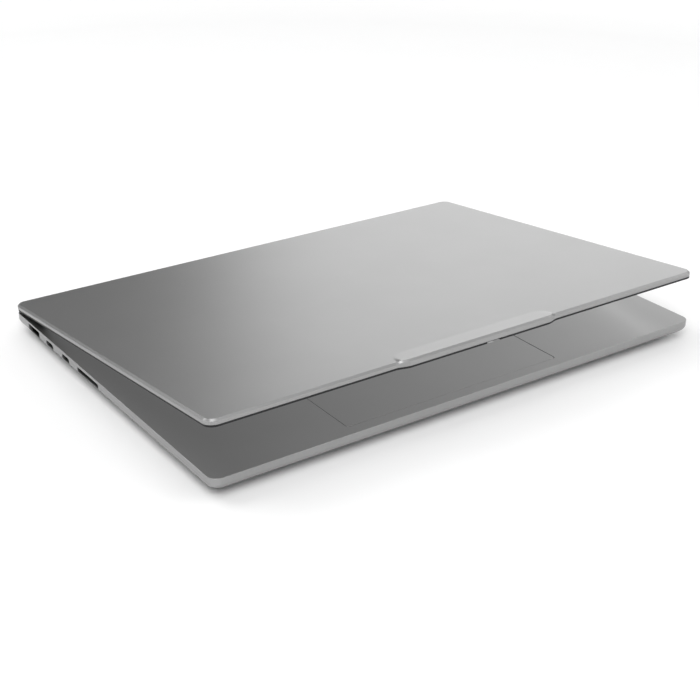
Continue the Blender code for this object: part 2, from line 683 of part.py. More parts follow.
def bar_wedge():
    """The low ramp on the lid behind the camera bar's crest, sunk a little way into the shell."""
    wedge = bmesh.new()
    crest = LID_FRONT - BAR_REACH
    sunk = LID_TOP - 0.6 * MM
    for side in (-1, 1):
        for x, y, z in (
            (BAR_HALF - 3 * MM, LID_FRONT + 3 * MM, sunk),
            (BAR_HALF - BAR_CURVE, crest + 0.1 * MM, sunk),
            (BAR_HALF - BAR_CURVE - 1 * MM, crest + 0.6 * MM, LID_TOP + BAR_RISE),
            (BAR_HALF - 5 * MM, LID_FRONT + 2 * MM, LID_TOP + BAR_RISE * 0.8),
            (BAR_HALF - 8 * MM, crest + BAR_BLEND, LID_TOP - 0.1 * MM),
            (BAR_HALF - 8 * MM, crest + BAR_BLEND, sunk),
        ):
            wedge.verts.new((side * x, y, z))
    bmesh.ops.convex_hull(wedge, input=wedge.verts)
    return wedge


def lid_shell():
    rings = [(lid_outline(0), SHELL_RIM), (lid_outline(0), LID_TOP - EDGE_CHAMFER)]
    rings.append((lid_outline(EDGE_CHAMFER), LID_TOP))
    shell = add_object("lid_shell", loft(*rings), SILVER, lid=True)
    join(shell, bar_wedge(), lid=True)
    inside = lid_outline(LID_WALL, bar=False, rear_inset=SIDE_WALL, radius=CORNER - LID_WALL)
    cut(shell, loft((inside, LID_LOW), (inside, LID_TOP - LID_SKIN)), lid=True)
    cut(shell, scallops(lid=True), lid=True)
    heights = (1 * MM, SHELL_RIM + 1.5 * MM)
    slots = hinge_zones(HINGE_SPLIT, HINGE_OUTER + GAP, THROUGH_REAR_WALL, heights, lid=True)
    cut(shell, boxes(*slots), lid=True)


def lid_trim():
    edge = 0.15 * MM
    ring = lid_outline(edge)
    slab = loft((ring, LID_LOW), (ring, LID_LOW + GASKET_HEIGHT))
    gasket = add_object("lid_gasket", slab, RUBBER, lid=True)
    hole = lid_outline(SIDE_WALL, bar=False, radius=CORNER - SIDE_WALL)
    cut(gasket, loft((hole, 0), (hole, LID_TOP)), lid=True)
    cut(gasket, scallops(lid=True), lid=True)
    face = LID_FRONT - BAR_REACH
    left = SHUTTER_X - SHUTTER_WIDTH / 2 - GAP
    right = SHUTTER_X + SHUTTER_WIDTH / 2 + SHUTTER_TRAVEL + GAP
    cut(gasket, boxes(((left, face - 1 * MM, 0), (right, face + 1.8 * MM, LID_TOP))), lid=True)
    xs = SHUTTER_X - SHUTTER_WIDTH / 2, SHUTTER_X + SHUTTER_WIDTH / 2
    tab = ((xs[0], face + 0.15 * MM, LID_LOW + 0.05 * MM), (xs[1], face + 1.4 * MM, LID_LOW + GASKET_HEIGHT))
    add_object("camera_shutter", boxes(tab), DARK_SILVER, lid=True)

    low, high = LID_LOW + 0.2 * MM, LID_LOW + 0.6 * MM
    rim = lid_outline(SIDE_WALL + GAP, bar=False, radius=3 * MM)
    bezel = add_object("display_bezel", loft((rim, low), (rim, high)), BLACK_PLASTIC, lid=True)
    view = (-150.8 * MM, LID_FRONT + 8 * MM, 0), (150.8 * MM, LID_FRONT + 196.5 * MM, LID_TOP)
    cut(bezel, boxes(view), lid=True)

    low = high + GAP
    corner = (-153 * MM, LID_FRONT + 6.6 * MM, low)
    panel = (corner, (153 * MM, LID_FRONT + 199 * MM, LID_TOP - LID_SKIN - 0.5 * MM))
    add_object("display_panel", boxes(panel), GLASS, lid=True)
    corner = (-14 * MM, LID_FRONT + 1.8 * MM, low + 0.2 * MM)
    board = boxes((corner, (14 * MM, LID_FRONT + 6.2 * MM, low + 1.4 * MM)))
    camera = add_object("camera_module", board, BLACK_PLASTIC, lid=True)
    join(camera, rods(((0, LID_FRONT + 4 * MM, low + 0.35 * MM), 1.5 * MM, 0.5 * MM), segments=16), lid=True)


# ---- build ------------------------------------------------------------------

clear_scene()
parts = bpy.data.collections.new("laptop_computer")
cutters = bpy.data.collections.new("cutters")
bpy.context.scene.collection.children.link(parts)
bpy.context.scene.collection.children.link(cutters)
lid_hinge = bpy.data.objects.new("lid_hinge", None)
lid_hinge.location = (0, AXIS_Y, AXIS_Z)
lid_hinge.rotation_euler.x = -LID_ANGLE
parts.objects.link(lid_hinge)

top_cover()
bottom_cover()
feet()
screws()
keys()
keyboard()
touchpad()
ports()
motherboard()
cooling()
modules()
hinges()
lid_shell()
lid_trim()
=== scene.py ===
"""The looks of a slim aluminium laptop computer, built around its CAD frame.

Metres, +Z up, +X to the user's right, +Y to the rear. The lid's pieces are drawn closed, in a frame on the
hinge axis, and are then turned open with the lid.
"""

import json
import math

import bmesh
import bpy
from mathutils import Matrix, Vector


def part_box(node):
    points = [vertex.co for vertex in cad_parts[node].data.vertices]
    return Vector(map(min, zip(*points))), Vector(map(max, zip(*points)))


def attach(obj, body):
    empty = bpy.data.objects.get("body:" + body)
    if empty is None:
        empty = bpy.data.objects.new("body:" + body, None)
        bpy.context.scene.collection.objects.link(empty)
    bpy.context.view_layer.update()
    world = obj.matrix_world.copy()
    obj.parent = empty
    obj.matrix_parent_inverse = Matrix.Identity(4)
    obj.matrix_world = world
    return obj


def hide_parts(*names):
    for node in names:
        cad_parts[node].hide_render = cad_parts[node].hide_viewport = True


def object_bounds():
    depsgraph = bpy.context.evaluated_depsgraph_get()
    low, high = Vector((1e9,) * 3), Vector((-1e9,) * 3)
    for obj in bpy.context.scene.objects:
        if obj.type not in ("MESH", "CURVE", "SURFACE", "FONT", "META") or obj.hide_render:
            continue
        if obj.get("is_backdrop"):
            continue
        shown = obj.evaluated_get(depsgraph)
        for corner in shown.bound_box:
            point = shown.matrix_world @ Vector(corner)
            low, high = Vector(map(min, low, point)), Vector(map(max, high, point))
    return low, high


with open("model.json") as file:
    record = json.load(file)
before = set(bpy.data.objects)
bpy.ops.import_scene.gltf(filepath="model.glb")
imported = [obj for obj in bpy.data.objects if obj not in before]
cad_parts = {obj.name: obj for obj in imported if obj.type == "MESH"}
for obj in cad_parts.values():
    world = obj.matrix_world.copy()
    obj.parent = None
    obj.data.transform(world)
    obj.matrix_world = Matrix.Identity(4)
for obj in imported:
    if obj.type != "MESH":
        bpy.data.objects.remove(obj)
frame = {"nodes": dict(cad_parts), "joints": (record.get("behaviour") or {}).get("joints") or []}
CAD_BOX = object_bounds()
nodes = frame["nodes"]
joints = {joint["name"]: joint for joint in frame["joints"]}
scene = bpy.context.scene
MM = 0.001

# ---- sizes read from the frame ----------------------------------------------

cover_low, cover_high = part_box("top_cover")
WIDTH = cover_high.x - cover_low.x
FRONT, REAR, BASE_TOP, SEAM = cover_low.y, cover_high.y, cover_high.z, cover_low.z
bottom_low, bottom_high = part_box("bottom_cover")
BASE_HEIGHT = BASE_TOP - bottom_low.z
AXIS = Vector(joints["lid_hinge"]["pos_m"])
LID_ANGLE = math.radians(-joints["lid_hinge"]["range_deg"][0])
LID_PLACE = Matrix.Translation(AXIS) @ Matrix.Rotation(-LID_ANGLE, 4, "X")
SHUTTER_TRAVEL = joints["shutter_slide"]["range_m"][1]


def lid_box(node):
    """A lid node's lowest and highest corners with the lid closed, from the hinge axis."""
    closed = [LID_PLACE.inverted() @ vert.co for vert in nodes[node].data.vertices]
    low = Vector(min(point[i] for point in closed) for i in range(3))
    return low, Vector(max(point[i] for point in closed) for i in range(3))


shell_low, shell_high = lid_box("lid_shell")
gasket_low, gasket_high = lid_box("lid_gasket")
shutter_low, shutter_high = lid_box("camera_shutter")

# ---- sizes of the finish ----------------------------------------------------

CORNER = 5.5 * MM  # plan radius of the casing's corners
CORNER_STEPS = 14
SIDE_BAND = 3.0 * MM  # upright part of the base's side
BELLY_INSET = 18 * MM
SIDE_WALL = 3.0 * MM
TOP_PLATE = 1.2 * MM
BOTTOM_PLATE = 1.0 * MM
EDGE = 0.18 * MM  # rounding of the palm rest's outer edge
SPLIT = 0.3 * MM  # between pieces that touch in the real object
BREAK = 0.05 * MM  # the small chamfer on punched edges

BAR_RISE = 0.6 * MM  # how far the camera bar's crest stands above the lid
BAR_REACH = 2.05 * MM
BAR_HALF = 52.5 * MM
BAR_CURVE = 8 * MM  # length of the S-curve at each end of the bar
BAR_END = 51 * MM  # where the crest comes down to the lid
BAR_CAP = 8 * MM  # rounding of the ramp's ends
RAMP = 9.5 * MM  # depth of the slope behind the crest
RAMP_STEPS = (0.5, 1, 1.5, 2, 3, 4, 5, 6, 7, 8, 8.75, 9.5, 10.5, 12.5)  # millimetres behind the crest
LID_CHAMFER = 1.0 * MM
LID_WALL = 1.3 * MM
LID_SKIN = 1.0 * MM
LID_TOP = shell_high.z - BAR_RISE
LID_FRONT = shell_low.y + BAR_REACH
LID_REAR = shell_high.y
RIM = shell_low.z

KEY_PITCH_X, KEY_PITCH_Y = 18.1 * MM, 18.4 * MM
FUNCTION_PITCH = 12.5 * MM
KEY_GAP = 2.7 * MM
KEY_SLACK = 0.4 * MM
KEY_RADIUS = 1.7 * MM
BACKPLATE_EDGE = 1 * MM  # how far the backplate stands out past the key field
WEB_INSET, WEB_HALF, WEB_TOP = 4 * MM, 2.5 * MM, 9 * MM  # the strip that joins the caps of a row

HINGE_CLEARANCE = 0.3 * MM
PIN_BORE = 1.35 * MM
BASE_LEAF = (-2.2 * MM, -1.1 * MM)  # heights of the bracket's leaf from the axis
LID_LEAF_THICK = 0.9 * MM

VENTS, VENT_FIRST, VENT_PITCH = 12, 76 * MM, 4 * MM
VENT_HALF, VENT_HALF_HEIGHT, VENT_Z = 1.3 * MM, 0.85 * MM, 6.65 * MM
INTAKES, INTAKE_PITCH, INTAKE_HALF, INTAKE_WIDTH = 9, 4 * MM, 20 * MM, 1.6 * MM
GRILLES, GRILLE_PITCH, GRILLE_HALF, GRILLE_WIDTH = 4, 3 * MM, 9 * MM, 1.2 * MM
SPEAKER_X, GRILLE_FORWARD = 125 * MM, 4 * MM

JACK_BORE = 1.75 * MM
SCREW_PAD, SCREW_SINK, SCREW_HOLE = 3.4 * MM, 2.5 * MM, 1.1 * MM  # radii in the bottom cover

LEGEND_LETTER, LEGEND_WORD = 4.2 * MM, 2.7 * MM
LEGEND_LEFT, LEGEND_BACK = 2.1 * MM, 1.6 * MM  # from the cap's left and rear edges
CAPITAL_HEIGHT = 0.72  # of a letter's size
INK_HALF, INK_DROP = 0.006 * MM, 0.085 * MM  # half the ink's thickness, and its depth below the cap's rim
ARROW_RADIUS = 1.1 * MM

SCREEN_HALF = 150 * MM
SCREEN_GLOW_LEFT, SCREEN_GLOW_RIGHT = 0.3, 0.8  # brightness of the screen's glow at its two ends: painted light that lights the palm rest, more on the right

# ---- mesh helpers -----------------------------------------------------------


def rounded(left, right, front, rear, radius, steps=CORNER_STEPS):
    """A rounded rectangle's points, anticlockwise, starting at the right end of its front edge."""
    points = []
    for turn, (x, y) in enumerate(((right, front), (right, rear), (left, rear), (left, front))):
        centre_x = x - math.copysign(radius, x - (left + right) / 2)
        centre_y = y - math.copysign(radius, y - (front + rear) / 2)
        for step in range(steps + 1):
            angle = math.radians(90 * (turn - 1 + step / steps))
            points.append((centre_x + radius * math.cos(angle), centre_y + radius * math.sin(angle)))
    return points


def skin(bm, rings, caps=(True, True)):
    """A surface through rings of equally many points, closed at its first and last ring."""
    levels = [[bm.verts.new(point) for point in ring] for ring in rings]
    for lower, upper in zip(levels, levels[1:]):
        for i in range(len(lower)):
            j = (i + 1) % len(lower)
            bm.faces.new((lower[i], lower[j], upper[j], upper[i]))
    if caps[0]:
        bm.faces.new(list(reversed(levels[0])))
    if caps[1]:
        bm.faces.new(levels[-1])
    return bm


def at_height(points, z):
    return [(x, y, z) for x, y in points]


def prism(outline, low, high):
    return skin(bmesh.new(), [at_height(outline, low), at_height(outline, high)])


def slab(left, right, front, rear, low, high, radius, edge=0.0, steps=6):
    """A plate with rounded corners, and a small chamfer along its top and bottom edges."""
    rings = []
    for inset, z in ((edge, low), (0, low + edge), (0, high - edge), (edge, high)):
        corner = max(radius - inset, 0.01 * MM)
        plan = rounded(left + inset, right - inset, front + inset, rear - inset, corner, steps)
        rings.append(at_height(plan, z))
    return skin(bmesh.new(), rings if edge else rings[1:3])


def block(low, high):
    size = Vector(high) - Vector(low)
    bm = bmesh.new()
    place = Matrix.Translation((Vector(low) + Vector(high)) / 2) @ Matrix.Diagonal((*size, 1))
    bmesh.ops.create_cube(bm, size=1, matrix=place)
    return bm


def turned(profile, steps=32):
    """A turned shape about +Z, from its profile of radius and height, bottom to top."""
    bm = bmesh.new()
    rings = []
    for radius, z in profile:
        angles = [2 * math.pi * i / steps for i in range(steps)]
        rings.append([(radius * math.cos(angle), radius * math.sin(angle), z) for angle in angles])
    return skin(bm, rings)


def rod(centre, radius, length, axis="Z", chamfer=0.0, steps=32):
    """A cylinder about its centre, lying along X or standing up, with chamfered ends."""
    half = length / 2
    profile = [(radius, -half), (radius, half)]
    if chamfer:
        profile = [(radius - chamfer, -half), (radius, chamfer - half)]
        profile += [(radius, half - chamfer), (radius - chamfer, half)]
    bm = turned(profile, steps)
    turn = Matrix.Rotation(math.pi / 2, 4, "Y") if axis == "X" else Matrix()
    bmesh.ops.transform(bm, matrix=Matrix.Translation(centre) @ turn, verts=bm.verts)
    return bm


def gathered(*shapes):
    """Several meshes as one, each still its own shell."""
    whole = bmesh.new()
    for bm in shapes:
        spare = bpy.data.meshes.new("spare")
        bm.to_mesh(spare)
        bm.free()
        whole.from_mesh(spare)
        bpy.data.meshes.remove(spare)
    return whole


def mesh_object(name, bm, lid=False):
    if lid:
        bmesh.ops.transform(bm, matrix=LID_PLACE, verts=bm.verts)
    bmesh.ops.recalc_face_normals(bm, faces=bm.faces)
    mesh = bpy.data.meshes.new(name)
    bm.to_mesh(mesh)
    bm.free()
    made = bpy.data.objects.new(name, mesh)
    scene.collection.objects.link(made)
    return made


def carve(piece, *tools, operation="DIFFERENCE", lid=False):
    """Cuts tools out of a piece, or joins them to it, one after the other."""
    for bm in tools:
        tool = mesh_object("tool", bm, lid)
        modifier = piece.modifiers.new("carve", "BOOLEAN")
        modifier.operation = operation
        modifier.object = tool
        graph = bpy.context.evaluated_depsgraph_get()
        piece.data = bpy.data.meshes.new_from_object(piece.evaluated_get(graph))
        piece.modifiers.clear()
        bpy.data.objects.remove(tool)
    return piece


def dress(piece, material, body, replaces=(), sharp=32):
    """Gives a piece its shading, its finish and the body that it moves with."""
    piece.data.materials.clear()
    piece.data.materials.append(material)
    piece.data.shade_smooth()
    piece.data.set_sharp_from_angle(angle=math.radians(sharp))
    weighted = piece.modifiers.new("weighted", "WEIGHTED_NORMAL")
    weighted.keep_sharp = True
    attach(piece, body)
    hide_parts(*replaces)
    return piece


# ---- materials --------------------------------------------------------------


def shader_of(name):
    made = bpy.data.materials.new(name)
    made.use_nodes = True
    return made, made.node_tree, made.node_tree.nodes["Principled BSDF"]


def noise(tree, scale, detail=3.0, stretch=(1, 1, 1)):
    """Object-space noise, as a node whose Fac socket is linked on."""
    coordinates = tree.nodes.new("ShaderNodeTexCoord")
    mapping = tree.nodes.new("ShaderNodeMapping")
    mapping.inputs["Scale"].default_value = stretch
    texture = tree.nodes.new("ShaderNodeTexNoise")
    texture.inputs["Scale"].default_value = scale
    texture.inputs["Detail"].default_value = detail
    tree.links.new(coordinates.outputs["Object"], mapping.inputs["Vector"])
    tree.links.new(mapping.outputs["Vector"], texture.inputs["Vector"])
    return texture


def spread(tree, source, low, high, start=0.3, end=0.7):
    """Maps a noise onto a range of values."""
    ranged = tree.nodes.new("ShaderNodeMapRange")
    ranged.inputs["From Min"].default_value = start
    ranged.inputs["From Max"].default_value = end
    ranged.inputs["To Min"].default_value = low
    ranged.inputs["To Max"].default_value = high
    tree.links.new(source.outputs["Fac"], ranged.inputs["Value"])
    return ranged.outputs["Result"]


def shades(tree, source, dark, light, start=0.35, end=0.65):
    """Maps a noise onto a run of colours."""
    ramp = tree.nodes.new("ShaderNodeValToRGB")
    ramp.color_ramp.elements[0].position = start
    ramp.color_ramp.elements[1].position = end
    ramp.color_ramp.elements[0].color = (*dark, 1)
    ramp.color_ramp.elements[1].color = (*light, 1)
    tree.links.new(source.outputs["Fac"], ramp.inputs["Fac"])
    return ramp.outputs["Color"]


def bump(tree, shader, source, strength, distance):
    """Raises the surface by a noise."""
    node = tree.nodes.new("ShaderNodeBump")
    node.inputs["Strength"].default_value = strength
    node.inputs["Distance"].default_value = distance
    tree.links.new(source.outputs["Fac"], node.inputs["Height"])
    tree.links.new(node.outputs["Normal"], shader.inputs["Normal"])


def surface(name, colour, vary, roughness, rough_vary, grain, relief, metallic=0.0, stretch=(1, 1, 1)):
    """A material whose tone drifts slowly, whose gloss varies, and whose grain is raised."""
    made, tree, shader = shader_of(name)
    shader.inputs["Metallic"].default_value = metallic
    drift = noise(tree, 25, 2.0)
    dark = [channel * (1 - vary) for channel in colour]
    light = [min(1, channel * (1 + vary)) for channel in colour]
    tree.links.new(shades(tree, drift, dark, light), shader.inputs["Base Color"])
    fine = noise(tree, grain, 4.0, stretch)
    rough = spread(tree, fine, roughness - rough_vary, roughness + rough_vary)
    tree.links.new(rough, shader.inputs["Roughness"])
    bump(tree, shader, fine, 0.5, relief)
    return made


def circuit_board():
    """Green solder mask over a raised pattern of straight tracks."""
    made, tree, shader = shader_of("circuit_board")
    coordinates = tree.nodes.new("ShaderNodeTexCoord")
    tracks = tree.nodes.new("ShaderNodeTexBrick")
    tracks.inputs["Scale"].default_value = 260
    tracks.inputs["Mortar Size"].default_value = 0.012
    tracks.inputs["Color1"].default_value = (0.012, 0.07, 0.04, 1)
    tracks.inputs["Color2"].default_value = (0.018, 0.10, 0.055, 1)
    tracks.inputs["Mortar"].default_value = (0.05, 0.20, 0.11, 1)
    tree.links.new(coordinates.outputs["Object"], tracks.inputs["Vector"])
    tree.links.new(tracks.outputs["Color"], shader.inputs["Base Color"])
    shader.inputs["Roughness"].default_value = 0.35
    bump(tree, shader, tracks, 0.4, 0.03 * MM)
    return made


def dark_glass(name):
    """Black glass with a faint oily drift in its gloss."""
    made, tree, shader = shader_of(name)
    drift = noise(tree, 9, 2.0)
    tone = shades(tree, drift, (0.004, 0.004, 0.005), (0.008, 0.008, 0.010))
    tree.links.new(tone, shader.inputs["Base Color"])
    tree.links.new(spread(tree, drift, 0.045, 0.09), shader.inputs["Roughness"])
    shader.inputs["Coat Weight"].default_value = 0.6
    shader.inputs["Coat Roughness"].default_value = 0.03
    return made


def palm_lighting_screen():
    """The display, on, glowing as a lamp for the palm rest: painted light, lighter to the right so that the
    palm rest is lit more there.
    """
    made = dark_glass("display_screen")
    tree = made.node_tree
    shader = tree.nodes["Principled BSDF"]
    coordinates = tree.nodes.new("ShaderNodeTexCoord")
    place = tree.nodes.new("ShaderNodeSeparateXYZ")
    along = tree.nodes.new("ShaderNodeMapRange")
    along.inputs["From Min"].default_value = -SCREEN_HALF
    along.inputs["From Max"].default_value = SCREEN_HALF
    # the glow's ramp, dimmer at the left: painted light for the palm rest
    ramp = tree.nodes.new("ShaderNodeValToRGB")
    ramp.name = "palm_rest_glow"
    ramp.color_ramp.elements[0].color = (*[SCREEN_GLOW_LEFT] * 3, 1)
    ramp.color_ramp.elements[1].color = (*[SCREEN_GLOW_RIGHT] * 3, 1)
    tree.links.new(coordinates.outputs["Object"], place.inputs["Vector"])
    tree.links.new(place.outputs["X"], along.inputs["Value"])
    tree.links.new(along.outputs["Result"], ramp.inputs["Fac"])
    tree.links.new(ramp.outputs["Color"], shader.inputs["Emission Color"])
    shader.inputs["Emission Strength"].default_value = 1.0
    return made


# The bottom cover's aluminium is a darker copy of the silver: painted shade for the underside's belly, which
# lies in shade.
ALUMINIUM, BELLY_SHADE_ALUMINIUM, PAD_GREY = (0.36, 0.36, 0.36), (0.30, 0.30, 0.303), (0.35, 0.35, 0.35)
looks = {
    "silver_aluminium": surface("silver_aluminium", ALUMINIUM, 0.012, 0.40, 0.03, 9000, 0.004 * MM, 1.0),
    "base_aluminium": surface("base_aluminium", BELLY_SHADE_ALUMINIUM, 0.015, 0.44, 0.03, 8000, 0.004 * MM, 1.0),
    "touchpad_surface": surface("touchpad_surface", PAD_GREY, 0.01, 0.36, 0.02, 12000, 0.002 * MM, 1.0),
    "plain_aluminium": surface("plain_aluminium", (0.55, 0.55, 0.56), 0.05, 0.5, 0.08, 2500, 0.01 * MM, 1.0),
    "black_plastic": surface("black_plastic", (0.017, 0.017, 0.018), 0.12, 0.5, 0.08, 5000, 0.012 * MM),
    "key_plastic": surface("key_plastic", (0.055, 0.056, 0.06), 0.05, 0.52, 0.06, 7000, 0.006 * MM),
    "black_rubber": surface("black_rubber", (0.012, 0.012, 0.013), 0.15, 0.82, 0.08, 3000, 0.02 * MM),
    "steel": surface("steel", (0.56, 0.56, 0.55), 0.05, 0.3, 0.08, 400, 0.004 * MM, 1.0, (1, 30, 30)),
    "copper": surface("copper", (0.72, 0.36, 0.22), 0.10, 0.34, 0.10, 600, 0.01 * MM, 1.0, (20, 1, 20)),
    "battery_foil": surface("battery_foil", (0.03, 0.03, 0.034), 0.20, 0.42, 0.10, 300, 0.05 * MM),
    "circuit_board": circuit_board(),
    "display_glass": dark_glass("display_glass"),
}
# the screen's glow is painted light on the palm rest
palm_lighting_screen_look = palm_lighting_screen()
# The port shells are steel darkened almost to black: painted shade standing in for the shade inside the
# ports' mouths.
port_shade_metal = surface("port_shade_metal", (0.06, 0.06, 0.06), 0.10, 0.35, 0.08, 900, 0.003 * MM, 1.0)
gold = surface("gold_contacts", (0.85, 0.60, 0.25), 0.05, 0.28, 0.05, 4000, 0.001 * MM, 1.0)
print_ink = surface("legend_ink", (0.62, 0.63, 0.64), 0.04, 0.55, 0.05, 9000, 0.001 * MM)
gasket_rubber = surface("gasket_rubber", (0.010, 0.010, 0.011), 0.12, 0.6, 0.08, 4000, 0.01 * MM)

# ---- lid --------------------------------------------------------------------


def smooth(t):
    t = min(max(t, 0.0), 1.0)
    return t * t * (3 - 2 * t)


def front_samples():
    """Where the lid's front edge has points: close together along the bar's two ends."""
    dense = [BAR_HALF + 1 * MM - 0.5 * MM * i for i in range(42)]
    half = dense + [30 * MM, 20 * MM, 10 * MM]
    return [-x for x in half] + [0.0] + list(reversed(half))


def lid_plan(inset, back=None, bar=1.0, radius=CORNER):
    """The lid's outline with the edge set in, and with a share of the camera bar's reach."""
    corner = max(radius - inset, 0.05 * MM)
    front = LID_FRONT + inset
    rear = LID_REAR - (inset if back is None else back)
    points = rounded(-WIDTH / 2 + inset, WIDTH / 2 - inset, front, rear, corner)
    for x in front_samples():
        points.append((x, front - bar * BAR_REACH * smooth((BAR_HALF - abs(x)) / BAR_CURVE)))
    return points


def bar_rise(x, depth):
    """Height of the camera bar's ramp above the lid, at a distance behind its crest."""
    along = abs(x)
    past = (along - (BAR_END - BAR_CAP)) / BAR_CAP
    reach = RAMP * math.sqrt(max(0.0, 1 - max(0.0, past) ** 2))
    crest = smooth((BAR_END - along) / (2.2 * MM))
    if reach <= depth:
        return 0.0
    return BAR_RISE * crest * (1 - depth / reach)


def lid_top_ring(inset, drop, behind):
    """A ring of the lid's skin, whose front run follows the camera bar."""
    fade = 1 - smooth(behind / (RAMP + BAR_REACH))
    plan = lid_plan(inset + behind, bar=fade)
    corners = len(plan) - len(front_samples())
    ring = []
    for i, (x, y) in enumerate(plan):
        rise = bar_rise(x, behind) if i >= corners else 0.0
        ring.append((x, y, LID_TOP - drop + rise))
    return ring


def hinge_troughs(lid):
    """What clears the hinge barrels, on both sides."""
    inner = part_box("hinge_bracket_right")[0].x
    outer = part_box("lid_hinge_arm_right")[1].x
    centre = Vector((0, 0, 0)) if lid else AXIS
    middle, length = (inner + outer) / 2, outer - inner + 2 * 0.5 * MM
    barrel = hinge_radius() + HINGE_CLEARANCE
    return [rod(centre + Vector((side * middle, 0, 0)), barrel, length, "X", steps=48) for side in (-1, 1)]


def hinge_radius():
    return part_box("hinge_bracket_right")[1].y - AXIS.y


def lid_shell():
    rings = [at_height(lid_plan(0.08 * MM), RIM), at_height(lid_plan(0), RIM + 0.08 * MM)]
    rings += [lid_top_ring(0, LID_CHAMFER, 0), lid_top_ring(LID_CHAMFER, 0, 0)]
    for behind in RAMP_STEPS:
        rings.append(lid_top_ring(LID_CHAMFER, 0, behind * MM))
    shell = mesh_object("lid_shell_finish", skin(bmesh.new(), rings), lid=True)
    inside = lid_plan(LID_WALL, back=SIDE_WALL, bar=0)
    carve(shell, prism(inside, RIM - 1 * MM, LID_TOP - LID_SKIN), lid=True)
    carve(shell, *hinge_troughs(True), lid=True)
    slots = []
    for side in ("left", "right"):
        low, high = lid_box(f"lid_hinge_arm_{side}")
        slots.append(block((low.x - SPLIT, -5.5 * MM, 0), (high.x + SPLIT, 1 * MM, high.z + SPLIT)))
    carve(shell, *slots, lid=True)
    dress(shell, looks["silver_aluminium"], "lid", ["lid_shell"], sharp=24)


def lid_gasket():
    edge = 0.15 * MM
    low, high = gasket_low.z, gasket_high.z
    rings = [at_height(lid_plan(edge + 0.12 * MM), low), at_height(lid_plan(edge), low + 0.12 * MM)]
    rings.append(at_height(lid_plan(edge), high))
    gasket = mesh_object("lid_gasket_finish", skin(bmesh.new(), rings), lid=True)
    hole = lid_plan(SIDE_WALL, bar=0)
    carve(gasket, prism(hole, 0, LID_TOP), lid=True)
    carve(gasket, *hinge_troughs(True), lid=True)
    face = gasket_low.y
    left, right = shutter_low.x - SPLIT, shutter_high.x + SHUTTER_TRAVEL + SPLIT
    carve(gasket, slab(left, right, face - 2 * MM, face + 1.65 * MM, 0, LID_TOP, 0.4 * MM), lid=True)
    dress(gasket, gasket_rubber, "lid", ["lid_gasket"])
    tab = slab(*spans(shutter_low, shutter_high), 0.25 * MM, 0.05 * MM)
    shutter = mesh_object("camera_shutter_tab", tab, lid=True)
    dress(shutter, looks["silver_aluminium"], "shutter", ["camera_shutter"])


def display():
    """The bezel with its sensor holes, the glass panel and the camera behind them."""
    low, high = lid_box("display_bezel")
    panel_low, panel_high = lid_box("display_panel")
    camera_low, camera_high = lid_box("camera_module")
    bezel = mesh_object("display_bezel_finish", slab(*spans(low, high), 3 * MM, 0.08 * MM, 10), lid=True)
    margin = 2.2 * MM
    view = (panel_low.x + margin, panel_high.x - margin, panel_low.y + 1.4 * MM, panel_high.y - 2.5 * MM)
    carve(bezel, slab(*view, -1 * MM, LID_TOP, 1.2 * MM), lid=True)
    camera_y = (camera_low.y + camera_high.y) / 2
    holes = [(0, 1.1), (-8, 0.6), (8, 0.6), (-30, 0.35), (30, 0.35), (-33, 0.35), (33, 0.35)]
    for x, radius in holes:
        carve(bezel, rod((x * MM, camera_y, low.z), radius * MM, 4 * MM), lid=True)
    dress(bezel, looks["black_plastic"], "lid", ["display_bezel"])
    pane = slab(*spans(panel_low, panel_high), 1.5 * MM, 0.1 * MM)
    glass = mesh_object("display_glass_panel", pane, lid=True)
    dress(glass, palm_lighting_screen_look, "lid", ["display_panel"])
    back = camera_low.z + 0.35 * MM
    board_low = Vector((camera_low.x, camera_low.y, back))
    camera = mesh_object("camera_board", slab(*spans(board_low, camera_high), 0.8 * MM, 0.1 * MM), lid=True)
    barrel = turned([(1.5 * MM, 0), (1.5 * MM, 0.3 * MM), (1.3 * MM, 0.4 * MM)], 40)
    place = Matrix.Translation((0, camera_y, back + 0.1 * MM)) @ flip()
    bmesh.ops.transform(barrel, matrix=place, verts=barrel.verts)
    carve(camera, barrel, operation="UNION", lid=True)
    dress(camera, looks["black_plastic"], "lid", ["camera_module"])
    lens_profile = [(0.9 * MM * math.cos(a), 0.28 * MM * math.sin(a)) for a in (0, 0.4, 0.8, 1.2, 1.5)]
    lens = turned(lens_profile, 32)
    place = Matrix.Translation((0, camera_y, back - 0.25 * MM)) @ flip()
    bmesh.ops.transform(lens, matrix=place, verts=lens.verts)
    dress(mesh_object("camera_lens", lens, lid=True), looks["display_glass"], "lid")


def flip():
    """Turns a shape to face down in the closed lid's frame."""
    return Matrix.Rotation(math.pi, 4, "X")


def spans(low, high):
    """A box's corners, in the order that slab takes."""
    return low.x, high.x, low.y, high.y, low.z, high.z


# ---- base -------------------------------------------------------------------


def base_plan(inset, radius=CORNER):
    return rounded(-WIDTH / 2 + inset, WIDTH / 2 - inset, FRONT + inset, REAR - inset, radius)


def belly(angle, thick=0.0):
    """Inset and height of the curved belly, from 0 where it starts to 90 degrees where it is flat."""
    turn = math.radians(angle)
    inset = BELLY_INSET * (1 - math.cos(turn)) + thick
    drop = SIDE_BAND + (BASE_HEIGHT - SIDE_BAND - thick) * math.sin(turn)
    return inset, BASE_TOP - drop


def belly_ring(angle, thick=0.0):
    inset, z = belly(angle, thick)
    return at_height(base_plan(inset), z)


def belly_angle(z):
    return math.degrees(math.asin((BASE_TOP - z - SIDE_BAND) / (BASE_HEIGHT - SIDE_BAND)))


def rows():
    """Front and rear of each key row, from the rear row to the front one."""
    _, rear = keyboard_edges()
    edges = []
    for pitch in [FUNCTION_PITCH] + [KEY_PITCH_Y] * 5:
        edges.append((rear - pitch, rear))
        rear -= pitch
    return edges


